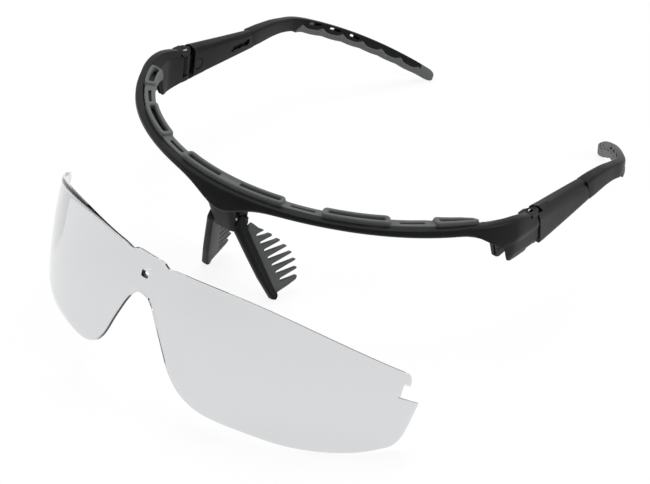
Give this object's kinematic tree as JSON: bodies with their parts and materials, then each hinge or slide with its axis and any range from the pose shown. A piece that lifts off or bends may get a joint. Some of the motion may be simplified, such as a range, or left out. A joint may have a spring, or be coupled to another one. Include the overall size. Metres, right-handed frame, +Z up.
{
  "type": "wraparound safety glasses",
  "caption": "Wraparound safety glasses: black half frame with soft grey brow guard, comb nose pads, adjustable folding temples, and the clear one-piece lens taken off and stood in front.",
  "frame": {"origin": "middle of the flat lens seat on the front of the nose housing, on the mid plane", "axes": "+X to the wearer's left, +Y from the lens to the temple tips, +Z up"},
  "size_m": [0.1548, 0.2311, 0.0466],
  "materials": {
    "black_plastic": "satin, finely grained",
    "grey_rubber": "matt",
    "comb_rubber": "matt",
    "clear_lens": "clear, polished",
    "pin_steel": "ground"
  },
  "bodies": {
    "frame": {"brow_frame": "black_plastic", "brow_guard": "grey_rubber", "nose_housing": "black_plastic", "nose_pin_left": "pin_steel", "nose_pin_right": "pin_steel", "hinge_pin_left": "pin_steel", "hinge_pin_right": "pin_steel"},
    "lens_part": {"lens": "clear_lens"},
    "nose_arm_part_left": {"nose_arm_left": "black_plastic", "nose_pad_left": "comb_rubber"},
    "hinge_part_left": {"hinge_block_left": "black_plastic"},
    "sleeve_part_left": {"temple_sleeve_left": "black_plastic", "tilt_pin_left": "black_plastic"},
    "arm_part_left": {"temple_arm_left": "black_plastic", "temple_tip_left": "grey_rubber"},
    "nose_arm_part_right": {"nose_arm_right": "black_plastic", "nose_pad_right": "comb_rubber"},
    "hinge_part_right": {"hinge_block_right": "black_plastic"},
    "sleeve_part_right": {"temple_sleeve_right": "black_plastic", "tilt_pin_right": "black_plastic"},
    "arm_part_right": {"temple_arm_right": "black_plastic", "temple_tip_right": "grey_rubber"}
  },
  "joints": [
    {"name": "lens_slide", "type": "slide", "parent": "frame", "child": "lens_part", "axis": [0, -1, 0], "range_m": [0, 0.04]},
    {"name": "nose_arm_left", "type": "hinge", "parent": "frame", "child": "nose_arm_part_left", "pos_m": [0.0027, 0.00221, -0.002], "axis": [0, -1, 0], "range_deg": [-4, 8]},
    {"name": "temple_fold_left", "type": "hinge", "parent": "frame", "child": "hinge_part_left", "pos_m": [0.0683, 0.05801, 0.0032], "axis": [0, 0, 1], "range_deg": [0, 90]},
    {"name": "temple_tilt_left", "type": "hinge", "parent": "hinge_part_left", "child": "sleeve_part_left", "pos_m": [0.0683, 0.06341, 0.002], "axis": [1, 0, 0], "range_deg": [-2, 2]},
    {"name": "temple_length_left", "type": "slide", "parent": "sleeve_part_left", "child": "arm_part_left", "axis": [0, 1, 0], "range_m": [0, 0.0078]},
    {"name": "nose_arm_right", "type": "hinge", "parent": "frame", "child": "nose_arm_part_right", "pos_m": [-0.0027, 0.00221, -0.002], "axis": [0, 1, 0], "range_deg": [-4, 8]},
    {"name": "temple_fold_right", "type": "hinge", "parent": "frame", "child": "hinge_part_right", "pos_m": [-0.0683, 0.05801, 0.0032], "axis": [0, 0, -1], "range_deg": [0, 75]},
    {"name": "temple_tilt_right", "type": "hinge", "parent": "hinge_part_right", "child": "sleeve_part_right", "pos_m": [-0.0683, 0.06341, 0.002], "axis": [1, 0, 0], "range_deg": [-2, 2]},
    {"name": "temple_length_right", "type": "slide", "parent": "sleeve_part_right", "child": "arm_part_right", "axis": [0, 1, 0], "range_m": [0, 0.0078]}
  ]
}
